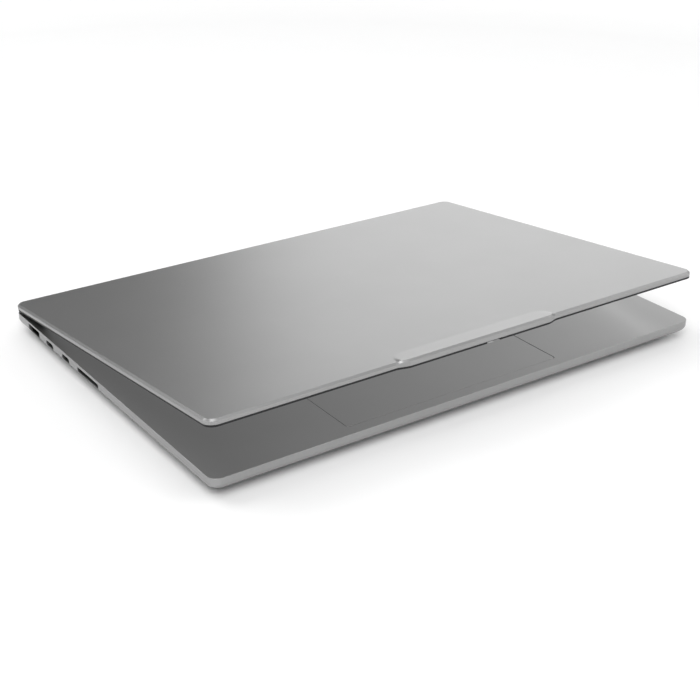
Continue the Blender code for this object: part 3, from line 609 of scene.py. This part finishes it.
def keyboard_edges():
    """Front and rear of the key field, from the backplate, which stands out a little past it."""
    low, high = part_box("keyboard_backplate")
    return low.y + BACKPLATE_EDGE, high.y - BACKPLATE_EDGE


def keyboard_left():
    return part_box("keyboard_backplate")[0].x + BACKPLATE_EDGE


def port_outline(kind, width, height, grow=0.0):
    """A mouth's outline across the port, as offsets along Y and Z."""
    half_w, half_h = width / 2 + grow, height / 2 + grow
    if kind == "hdmi":
        slant = 1.7 * MM
        return [
            (half_w, half_h), (-half_w, half_h), (-half_w, -half_h + slant),
            (-half_w + slant, -half_h), (half_w - slant, -half_h), (half_w, -half_h + slant),
        ]
    radius = {"usb_c": half_h - 0.01 * MM, "sd": 0.9 * MM, "usb_a": 0.45 * MM}[kind]
    return rounded(-half_w, half_w, -half_h, half_h, radius, 8)


def across(outline, side, x, y, z):
    """A port's outline placed at a distance from the middle of the casing."""
    return [(side * x, y + dy, z + dz) for dy, dz in outline]


PORTS = {
    "hdmi_port": ("hdmi", -1, 1.0 * MM),
    "usb_c_port_rear": ("usb_c", -1, 0.7 * MM),
    "usb_c_port_front": ("usb_c", -1, 0.7 * MM),
    "sd_card_slot": ("sd", -1, 0),
    "usb_a_port_rear": ("usb_a", 1, 1.8 * MM),
    "usb_a_port_front": ("usb_a", 1, 1.8 * MM),
}
PORT_WALL = 0.35 * MM


def port_place(node):
    """Middle and mouth of a port, and how far its shell lies from the middle of the casing."""
    low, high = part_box(node)
    centre = (low + high) / 2
    reach = sorted((abs(low.x), abs(high.x)))
    return centre, high.y - low.y - 2 * PORT_WALL, high.z - low.z - 2 * PORT_WALL, reach


def port_cutters():
    """The mouths through the side walls, each with a chamfered lip, and the pockets behind them."""
    cutters = []
    for node, (kind, side, _) in PORTS.items():
        centre, width, height, (_, outer) = port_place(node)
        wall = WIDTH / 2
        lip = 0.2 * MM
        rings = []
        for grow, x in ((0, outer), (0, wall - lip), (lip, wall), (lip, wall + 2 * MM)):
            rings.append(across(port_outline(kind, width, height, grow), side, x, centre.y, centre.z))
        cutters.append(skin(bmesh.new(), rings))
        pocket = port_outline(kind, width, height, PORT_WALL + SPLIT / 2)
        rings = [across(pocket, side, x, centre.y, centre.z) for x in (outer - 20 * MM, outer + 0.05 * MM)]
        cutters.append(skin(bmesh.new(), rings))
    low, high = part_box("audio_jack")
    centre = (low + high) / 2
    flare = JACK_BORE + 0.25 * MM
    profile = [(JACK_BORE, 0), (JACK_BORE, WIDTH / 2 - high.x - 0.2 * MM)]
    profile += [(flare, WIDTH / 2 - high.x), (flare, 5 * MM)]
    mouth = turned(profile, 40)
    place = Matrix.Translation((high.x, centre.y, centre.z)) @ Matrix.Rotation(math.pi / 2, 4, "Y")
    bmesh.ops.transform(mouth, matrix=place, verts=mouth.verts)
    cutters.append(mouth)
    pocket_length = 20 * MM
    pocket_x = high.x + 0.05 * MM - pocket_length / 2
    cutters.append(rod((pocket_x, centre.y, centre.z), (high.z - low.z) / 2 + SPLIT / 2, pocket_length, "X"))
    return cutters


def flared(plan_of, low, high):
    """A cutter that opens out where it leaves the surface at the height high."""
    rings = [at_height(plan_of(0), low), at_height(plan_of(0), high - BREAK), at_height(plan_of(BREAK), high)]
    rings.append(at_height(plan_of(BREAK), high + 1 * MM))
    return skin(bmesh.new(), rings)


def grown(left, right, front, rear, radius, steps=6):
    return lambda grow: rounded(left - grow, right + grow, front - grow, rear + grow, radius + grow, steps)


def top_cover():
    start = belly_angle(SEAM)
    rings = [belly_ring(start * (1 - i / 9)) for i in range(10)]
    for i in range(7):
        turn = math.radians(90 * i / 6)
        inset, z = EDGE * (1 - math.cos(turn)), BASE_TOP - EDGE * (1 - math.sin(turn))
        rings.append(at_height(base_plan(inset), z))
    cover = mesh_object("top_cover_finish", skin(bmesh.new(), rings))
    inside = base_plan(SIDE_WALL, CORNER - SIDE_WALL + 1 * MM)
    carve(cover, prism(inside, SEAM - 1 * MM, BASE_TOP - TOP_PLATE))
    front, rear = keyboard_edges()
    left = keyboard_left()
    carve(cover, flared(grown(left, -left, front, rear, 2.5 * MM), BASE_TOP - 3 * MM, BASE_TOP))
    pad_low, pad_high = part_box("touchpad")
    pad_sides = (pad_low.x - SPLIT, pad_high.x + SPLIT, pad_low.y - SPLIT, pad_high.y + SPLIT)
    pad = grown(*pad_sides, 1.6 * MM)
    carve(cover, flared(pad, BASE_TOP - 3 * MM, BASE_TOP))
    carve(cover, *port_cutters())
    carve(cover, *hinge_troughs(False))
    slots = []
    for side in ("left", "right"):
        low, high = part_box(f"hinge_bracket_{side}")
        slot_low = (low.x - SPLIT, REAR - 4 * MM, AXIS.z + BASE_LEAF[0] - SPLIT)
        slots.append(block(slot_low, (high.x + SPLIT, REAR + 2 * MM, AXIS.z + BASE_LEAF[1] + SPLIT)))
    carve(cover, *slots)
    steps = [VENT_FIRST + VENT_PITCH * i for i in range(VENTS)]
    carve(cover, gathered(*[vent(side * x) for side in (-1, 1) for x in steps]))
    dress(cover, looks["silver_aluminium"], "base", ["top_cover"], sharp=24)


def vent(x):
    """One exhaust slot through the rear wall."""
    shape = rounded(-VENT_HALF, VENT_HALF, -VENT_HALF_HEIGHT, VENT_HALF_HEIGHT, 0.8 * MM, 6)
    rings = [[(x + dx, y, VENT_Z + dz) for dx, dz in shape] for y in (REAR - 5 * MM, REAR + 1 * MM)]
    return skin(bmesh.new(), rings)


def screw_places():
    found = {}
    for name in nodes:
        if name.startswith("bottom_screw"):
            low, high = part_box(name)
            found[name] = ((low.x + high.x) / 2, (low.y + high.y) / 2, low.z)
    return found


def bottom_cover():
    start = belly_angle(bottom_high.z)
    angles = [90 - (90 - start) * i / 12 for i in range(13)]
    cover = mesh_object("bottom_cover_finish", skin(bmesh.new(), [belly_ring(angle) for angle in angles]))
    inner = [belly_ring(angle, BOTTOM_PLATE) for angle in angles]
    rim = [(x, y, BASE_TOP) for x, y, _ in inner[-1]]
    carve(cover, skin(bmesh.new(), [*inner, rim]))
    slots = []
    for side in ("left", "right"):
        low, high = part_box(f"fan_housing_{side}")
        x, y = (low.x + high.x) / 2, (low.y + high.y) / 2
        slots += slot_row(x, y, INTAKES, INTAKE_PITCH, INTAKE_HALF, INTAKE_WIDTH)
        low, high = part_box(f"speaker_{side}")
        x, y = math.copysign(SPEAKER_X, low.x), (low.y + high.y) / 2 - GRILLE_FORWARD
        slots += slot_row(x, y, GRILLES, GRILLE_PITCH, GRILLE_HALF, GRILLE_WIDTH)
    carve(cover, gathered(*slots))
    for name in ("rear_foot_strip", "front_foot_strip"):
        low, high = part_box(name)
        y, half = (low.y + high.y) / 2, (high.y - low.y) / 2 + SPLIT
        pocket = rounded(low.x - SPLIT, high.x + SPLIT, y - half, y + half, half - 0.05 * MM, 10)
        carve(cover, prism(pocket, 0, bottom_low.z + 0.6 * MM))
    for x, y, low in screw_places().values():
        carve(cover, rod((x, y, 2.6 * MM), SCREW_PAD, 2 * MM), operation="UNION")
        carve(cover, rod((x, y, low), SCREW_SINK, 1.6 * MM))
        carve(cover, rod((x, y, low), SCREW_HOLE, 12 * MM))
    # the bottom cover takes the darker copy of the aluminium, painted shade for its belly
    dress(cover, looks["base_aluminium"], "base", ["bottom_cover"], sharp=24)


def slot_row(x, y, count, pitch, half, width):
    """Parallel slots, side by side about a point."""
    return [stadium(x, y + (i - (count - 1) / 2) * pitch, half, width / 2) for i in range(count)]


def stadium(x, y, half, half_width):
    """A long slot with round ends through the bottom cover."""
    plan = rounded(x - half, x + half, y - half_width, y + half_width, half_width - 0.01 * MM, 6)
    return prism(plan, 0, 3 * MM)


def feet_and_screws():
    for name in ("rear_foot_strip", "front_foot_strip"):
        low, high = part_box(name)
        foot = slab(*spans(low, high), (high.y - low.y) / 2 - 0.02 * MM, 0.3 * MM, 10)
        dress(mesh_object(f"{name}_finish", foot), looks["black_rubber"], "base", [name])
    for name, (x, y, low) in screw_places().items():
        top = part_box(name)[1].z
        profile = [(1.9 * MM, 0), (2.2 * MM, 0.15 * MM), (2.2 * MM, 0.6 * MM)]
        profile += [(0.8 * MM, 0.62 * MM), (0.8 * MM, top - low)]
        head = turned(profile, 40)
        bmesh.ops.translate(head, vec=(x, y, low), verts=head.verts)
        screw = mesh_object(f"{name}_finish", head)
        for i in range(3):
            key = block((-1.05 * MM, -0.28 * MM, -1 * MM), (1.05 * MM, 0.28 * MM, 0.35 * MM))
            place = Matrix.Translation((x, y, low)) @ Matrix.Rotation(math.radians(60 * i), 4, "Z")
            bmesh.ops.transform(key, matrix=place, verts=key.verts)
            carve(screw, key)
        dress(screw, looks["steel"], "base", [name])


# ---- keyboard and touchpad --------------------------------------------------

# Node: row from the rear, first unit from the left, width of each cap in units, and legends
KEYS = {
    "function_key_row": (0, 0, [1] * 14, ["esc"] + [f"F{i}" for i in range(1, 13)] + ["del"]),
    "power_button": (0, 14, [1], [""]),
    "number_key_row": (1, 0, [1] * 13, list("`1234567890-=")),
    "backspace_key": (1, 13, [2], ["backspace"]),
    "tab_key": (2, 0, [1.5], ["tab"]),
    "upper_letter_row": (2, 1.5, [1] * 12 + [1.5], list("QWERTYUIOP[]") + ["\\"]),
    "caps_lock_key": (3, 0, [1.75], ["caps lock"]),
    "home_letter_row": (3, 1.75, [1] * 11, list("ASDFGHJKL;'")),
    "enter_key": (3, 12.75, [2.25], ["enter"]),
    "left_shift_key": (4, 0, [2.25], ["shift"]),
    "lower_letter_row": (4, 2.25, [1] * 10, list("ZXCVBNM,./")),
    "right_shift_key": (4, 12.25, [2.75], ["shift"]),
    "left_modifier_keys": (5, 0, [1.25, 1, 1, 1], ["ctrl", "fn", "", "alt"]),
    "space_bar": (5, 4.25, [5.5], [""]),
    "right_modifier_keys": (5, 9.75, [1, 1.25], ["alt", "ctrl"]),
}
# Node: unit, whether it is the upper half of the row, and the turn of its triangle in degrees
ARROWS = {
    "left_arrow_key": (12, False, 90),
    "up_arrow_key": (13, True, 0),
    "down_arrow_key": (13, False, 180),
    "right_arrow_key": (14, False, -90),
}


def keycap(left, right, front, rear, low, top):
    """A cap with rounded corners and edges, and a shallow dish."""
    rings = []
    for inset, z in (
        (0, low), (0.2 * MM, top - 0.4 * MM), (0.27 * MM, top - 0.18 * MM), (0.42 * MM, top - 0.05 * MM),
        (0.65 * MM, top), (1.6 * MM, top - 0.05 * MM), (3.0 * MM, top - 0.10 * MM),
    ):
        corner = max(KEY_RADIUS - inset, 0.4 * MM)
        plan = rounded(left + inset, right - inset, front + inset, rear - inset, corner, 5)
        rings.append(at_height(plan, z))
    return skin(bmesh.new(), rings)


def key_body(node):
    return f"{node}_body"


def cap_cells():
    """Each keycap's node, legend and outline, the arrows last."""
    half = KEY_GAP / 2
    edges, left = rows(), keyboard_left()
    for node, (row, unit, widths, legends) in KEYS.items():
        x = left + unit * KEY_PITCH_X
        front, rear = edges[row]
        for width, legend in zip(widths, legends):
            yield node, legend, (x + half, x + width * KEY_PITCH_X - half, front + half, rear - half)
            x += width * KEY_PITCH_X
    front, rear = edges[5]
    middle = (front + rear) / 2
    slack = half - KEY_SLACK
    for node, (unit, upper, _) in ARROWS.items():
        x = left + unit * KEY_PITCH_X
        low, high = (middle - slack, rear) if upper else (front, middle + slack)
        yield node, "", (x + half, x + KEY_PITCH_X - half, low + half, high - half)


def text_mesh(words, size, x, y, z):
    """Printed words as a thin solid, with their left end and baseline at a point."""
    curve = bpy.data.curves.new("words", "FONT")
    curve.body = words
    curve.size = size
    curve.extrude = INK_HALF
    curve.resolution_u = 3
    guide = bpy.data.objects.new("words", curve)
    scene.collection.objects.link(guide)
    mesh = bpy.data.meshes.new_from_object(guide.evaluated_get(bpy.context.evaluated_depsgraph_get()))
    bpy.data.objects.remove(guide)
    bm = bmesh.new()
    bm.from_mesh(mesh)
    bpy.data.meshes.remove(mesh)
    bmesh.ops.translate(bm, vec=(x, y, z), verts=bm.verts)
    return bm


def keyboard():
    caps = {}
    prints = {}
    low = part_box("space_bar")[0].z
    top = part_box("space_bar")[1].z
    holes = []
    for node, legend, (left, right, front, rear) in cap_cells():
        caps.setdefault(node, []).append(keycap(left, right, front, rear, low, top))
        holes.append((left, right, front, rear))
        if legend:
            size = LEGEND_LETTER if len(legend) == 1 else LEGEND_WORD
            drop = size * CAPITAL_HEIGHT + LEGEND_BACK
            words = text_mesh(legend, size, left + LEGEND_LEFT, rear - drop, top - INK_DROP)
            prints.setdefault(node, []).append(words)
    for node, (_, _, turn) in ARROWS.items():
        arrow_low, arrow_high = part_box(node)
        centre = (arrow_low + arrow_high) / 2
        angles = [math.radians(degrees) for degrees in (0, 240, 120)]
        triangle = [(ARROW_RADIUS * math.sin(angle), ARROW_RADIUS * math.cos(angle)) for angle in angles]
        bm = prism(triangle, -INK_HALF, INK_HALF)
        place = Matrix.Translation((centre.x, centre.y, top - INK_DROP))
        place = place @ Matrix.Rotation(math.radians(turn), 4, "Z")
        bmesh.ops.transform(bm, matrix=place, verts=bm.verts)
        prints[node] = [bm]
    for node, shapes in caps.items():
        if len(shapes) > 1:
            box_low, box_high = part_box(node)
            middle = (box_low.y + box_high.y) / 2
            web_low = (box_low.x + WEB_INSET, middle - WEB_HALF, low + 0.05 * MM)
            shapes.append(block(web_low, (box_high.x - WEB_INSET, middle + WEB_HALF, WEB_TOP)))
        cap = mesh_object(f"{node}_cap", gathered(*shapes))
        dress(cap, looks["key_plastic"], key_body(node), [node], sharp=40)
    for node, shapes in prints.items():
        dress(mesh_object(f"{node}_legend", gathered(*shapes)), print_ink, key_body(node))
    grid_low, grid_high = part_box("keyboard_grid")
    grid = mesh_object("keyboard_grid_finish", slab(*spans(grid_low, grid_high), 2 * MM))
    openings = []
    for left, right, front, rear in holes:
        wide = KEY_SLACK
        plan = rounded(left - wide, right + wide, front - wide, rear + wide, KEY_RADIUS + wide, 4)
        openings.append(prism(plan, grid_low.z - 1 * MM, grid_high.z + 1 * MM))
    carve(grid, gathered(*openings))
    dress(grid, looks["black_plastic"], "base", ["keyboard_grid"])


def touchpad():
    low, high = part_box("touchpad")
    pad = mesh_object("touchpad_finish", slab(*spans(low, high), 1.4 * MM, 0.04 * MM, 8))
    dress(pad, looks["touchpad_surface"], "touchpad", ["touchpad"])


# ---- ports ------------------------------------------------------------------


def ports():
    for node, (kind, side, tongue) in PORTS.items():
        centre, width, height, (inner, outer) = port_place(node)
        rings = []
        for grow, x in ((PORT_WALL, inner), (PORT_WALL, outer), (0, outer), (0, inner + 1 * MM)):
            rings.append(across(port_outline(kind, width, height, grow), side, x, centre.y, centre.z))
        shell = mesh_object(f"{node}_shell", skin(bmesh.new(), rings))
        # the shells take the darkened steel, painted shade for the ports' mouths
        dress(shell, port_shade_metal, "base", [node])
        if not tongue:
            continue
        half_w, half_t = width * 0.4, tongue / 2
        xs = sorted((side * (inner + 0.8 * MM), side * (outer - 1 * MM)))
        low = Vector((xs[0], centre.y - half_w, centre.z - half_t))
        high = Vector((xs[1], centre.y + half_w, centre.z + half_t))
        insert = mesh_object(f"{node}_tongue", slab(*spans(low, high), 0.3 * MM, 0.1 * MM))
        dress(insert, looks["black_plastic"], "base")
        contacts = {"hdmi": 9, "usb_c": 8, "usb_a": 4}[kind]
        pitch = 2 * half_w / (contacts + 1)
        under = centre.z - half_t
        xs = sorted((side * (outer - 5 * MM), side * (outer - 1.3 * MM)))
        strips = []
        for i in range(contacts):
            y = centre.y - half_w + pitch * (i + 1)
            low = (xs[0], y - pitch * 0.28, under - 0.03 * MM)
            strips.append(block(low, (xs[1], y + pitch * 0.28, under + 0.1 * MM)))
        dress(mesh_object(f"{node}_contacts", gathered(*strips)), gold, "base")
    low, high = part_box("audio_jack")
    centre = (low + high) / 2
    radius, length = (high.z - low.z) / 2, high.x - low.x
    profile = [(radius, 0), (radius, length), (JACK_BORE, length), (JACK_BORE, 1 * MM)]
    barrel = turned(profile, 40)
    place = Matrix.Translation((low.x, centre.y, centre.z)) @ Matrix.Rotation(math.pi / 2, 4, "Y")
    bmesh.ops.transform(barrel, matrix=place, verts=barrel.verts)
    jack = mesh_object("audio_jack_finish", barrel)
    dress(jack, looks["black_plastic"], "base", ["audio_jack"])


# ---- hinges -----------------------------------------------------------------


def hinges():
    radius = hinge_radius()
    for name in ("left", "right"):
        for node, lid in ((f"hinge_bracket_{name}", False), (f"lid_hinge_arm_{name}", True)):
            low, high = lid_box(node) if lid else [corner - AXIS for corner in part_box(node)]
            centre = Vector(((low.x + high.x) / 2, 0, 0))
            barrel = rod(centre, radius, high.x - low.x, "X", 0.15 * MM, 64)
            if not lid:
                bmesh.ops.translate(barrel, vec=AXIS, verts=barrel.verts)
            knuckle = mesh_object(f"{node}_finish", barrel, lid)
            heights = (RIM, RIM + LID_LEAF_THICK) if lid else [AXIS.z + z for z in BASE_LEAF]
            near = -0.3 * MM if lid else AXIS.y - 0.5 * MM
            far = low.y if lid else AXIS.y + low.y
            leaf = block((low.x, far, heights[0]), (high.x, near, heights[1]))
            carve(knuckle, leaf, operation="UNION", lid=lid)
            hole = rod(centre + (Vector() if lid else AXIS), PIN_BORE, 40 * MM, "X")
            carve(knuckle, hole, lid=lid)
            dress(knuckle, looks["steel"], "lid" if lid else "base", [node])
        low, high = lid_box(f"hinge_pin_{name}")
        centre = Vector(((low.x + high.x) / 2, 0, 0))
        shaft = rod(centre, high.y, high.x - low.x, "X", 0.2 * MM)
        pin = mesh_object(f"hinge_pin_{name}_finish", shaft, lid=True)
        dress(pin, looks["steel"], "lid", [f"hinge_pin_{name}"])


# ---- carried-over nodes -----------------------------------------------------

KEPT = {
    "keyboard_backplate": "plain_aluminium",
    "motherboard": "circuit_board",
    "ssd_module": "circuit_board",
    "wifi_card": "circuit_board",
    "battery_pack": "battery_foil",
    "heat_sink": "copper",
    "speaker_left": "black_plastic",
    "speaker_right": "black_plastic",
    "fan_housing_left": "black_plastic",
    "fan_housing_right": "black_plastic",
    "fan_rotor_left": "black_plastic",
    "fan_rotor_right": "black_plastic",
}


def finish_kept():
    for node, look in KEPT.items():
        kept = nodes[node]
        if kept.material_slots:
            kept.material_slots[0].material = looks[look]
        else:
            kept.data.materials.append(looks[look])


# ---- studio -----------------------------------------------------------------

CAMERA_PLACE = (-0.4114, -0.57334, 0.3340)
CAMERA_YAW, CAMERA_PITCH, CAMERA_ROLL = -35.54, 25.38, 0.836
CAMERA_LENS = 70.27
CAMERA_SHIFT = (0.0021, -0.0234)

# Softboxes: azimuth from +Y towards +X, elevation, distance, width, height, power in watts
LIGHTS = {
    "overhead": (0, 85, 1.6, 2.0, 2.0, 14),
    "front_left": (-140, 45, 2.0, 1.5, 1.0, 20),
    "front_right": (125, 25, 2.0, 2.0, 1.4, 15),
    "rear_left": (-30, 40, 2.2, 1.5, 1.0, 15),
    "rear": (52, 14, 2.4, 2.2, 1.2, 14),
}
WORLD = 0.15
BACKDROP = 1.0  # what the camera sees beyond the floor
FLOOR_SIDE = 8.0
GLOW_FROM, GLOW_FULL, FLOOR_GLOW = 0.8, 2.5, 0.8  # the floor glows at a distance, so that it stays pale


def camera():
    yaw, pitch, roll = (math.radians(angle) for angle in (CAMERA_YAW, CAMERA_PITCH, CAMERA_ROLL))
    back = Vector((math.sin(yaw) * math.cos(pitch), -math.cos(yaw) * math.cos(pitch), math.sin(pitch)))
    right = (-back).cross(Vector((0, 0, 1))).normalized()
    up = right.cross(-back)
    tilted_right = right * math.cos(roll) + up * math.sin(roll)
    tilted_up = up * math.cos(roll) - right * math.sin(roll)
    data = bpy.data.cameras.new("camera")
    data.lens = CAMERA_LENS
    data.sensor_width = 36
    data.shift_x, data.shift_y = CAMERA_SHIFT
    data.clip_start, data.clip_end = 0.01, 50
    view = bpy.data.objects.new("camera", data)
    turn = Matrix((tilted_right, tilted_up, back)).transposed().to_4x4()
    view.matrix_world = Matrix.Translation(CAMERA_PLACE) @ turn
    scene.collection.objects.link(view)
    scene.camera = view


def softbox(name, azimuth, elevation, distance, width, height, power):
    """A large area light that faces the middle of the object."""
    around, above = math.radians(azimuth), math.radians(elevation)
    away = Vector((math.sin(around) * math.cos(above), math.cos(around) * math.cos(above), math.sin(above)))
    data = bpy.data.lights.new(name, "AREA")
    data.shape = "RECTANGLE"
    data.size, data.size_y = width, height
    data.energy = power
    light = bpy.data.objects.new(name, data)
    light.location = away * distance
    light.rotation_euler = away.to_track_quat("Z", "Y").to_euler()
    scene.collection.objects.link(light)


def floor_paper():
    """Matt white paper that glows faintly far from the object."""
    made = surface("floor_paper", (0.93, 0.93, 0.93), 0.002, 0.9, 0.02, 200, 0.0)
    tree = made.node_tree
    shader = tree.nodes["Principled BSDF"]
    coordinates = tree.nodes.new("ShaderNodeTexCoord")
    distance = tree.nodes.new("ShaderNodeVectorMath")
    distance.operation = "LENGTH"
    glow = tree.nodes.new("ShaderNodeMapRange")
    glow.inputs["From Min"].default_value = GLOW_FROM
    glow.inputs["From Max"].default_value = GLOW_FULL
    glow.inputs["To Max"].default_value = FLOOR_GLOW
    tree.links.new(coordinates.outputs["Object"], distance.inputs[0])
    tree.links.new(distance.outputs["Value"], glow.inputs["Value"])
    tree.links.new(glow.outputs["Result"], shader.inputs["Emission Strength"])
    shader.inputs["Emission Color"].default_value = (1, 1, 1, 1)
    return made


def studio():
    floor_mesh = bmesh.new()
    bmesh.ops.create_grid(floor_mesh, x_segments=1, y_segments=1, size=FLOOR_SIDE / 2)
    floor = mesh_object("floor", floor_mesh)
    floor.data.materials.append(floor_paper())
    floor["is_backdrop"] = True
    for name, settings in LIGHTS.items():
        softbox(name, *settings)
    world = bpy.data.worlds.new("studio")
    world.use_nodes = True
    tree = world.node_tree
    tree.nodes["Background"].inputs["Color"].default_value = (1, 1, 1, 1)
    path = tree.nodes.new("ShaderNodeLightPath")
    level = tree.nodes.new("ShaderNodeMapRange")
    level.inputs["To Min"].default_value = WORLD
    level.inputs["To Max"].default_value = BACKDROP
    tree.links.new(path.outputs["Is Camera Ray"], level.inputs["Value"])
    tree.links.new(level.outputs["Result"], tree.nodes["Background"].inputs["Strength"])
    scene.world = world
    scene.view_settings.view_transform = "Standard"


camera()
lid_shell()
lid_gasket()
display()
top_cover()
bottom_cover()
feet_and_screws()
keyboard()
touchpad()
ports()
hinges()
finish_kept()
studio()

sizes = {"cad": CAD_BOX, "visual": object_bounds()}
{name: [list(corner) for corner in box] for name, box in sizes.items()}
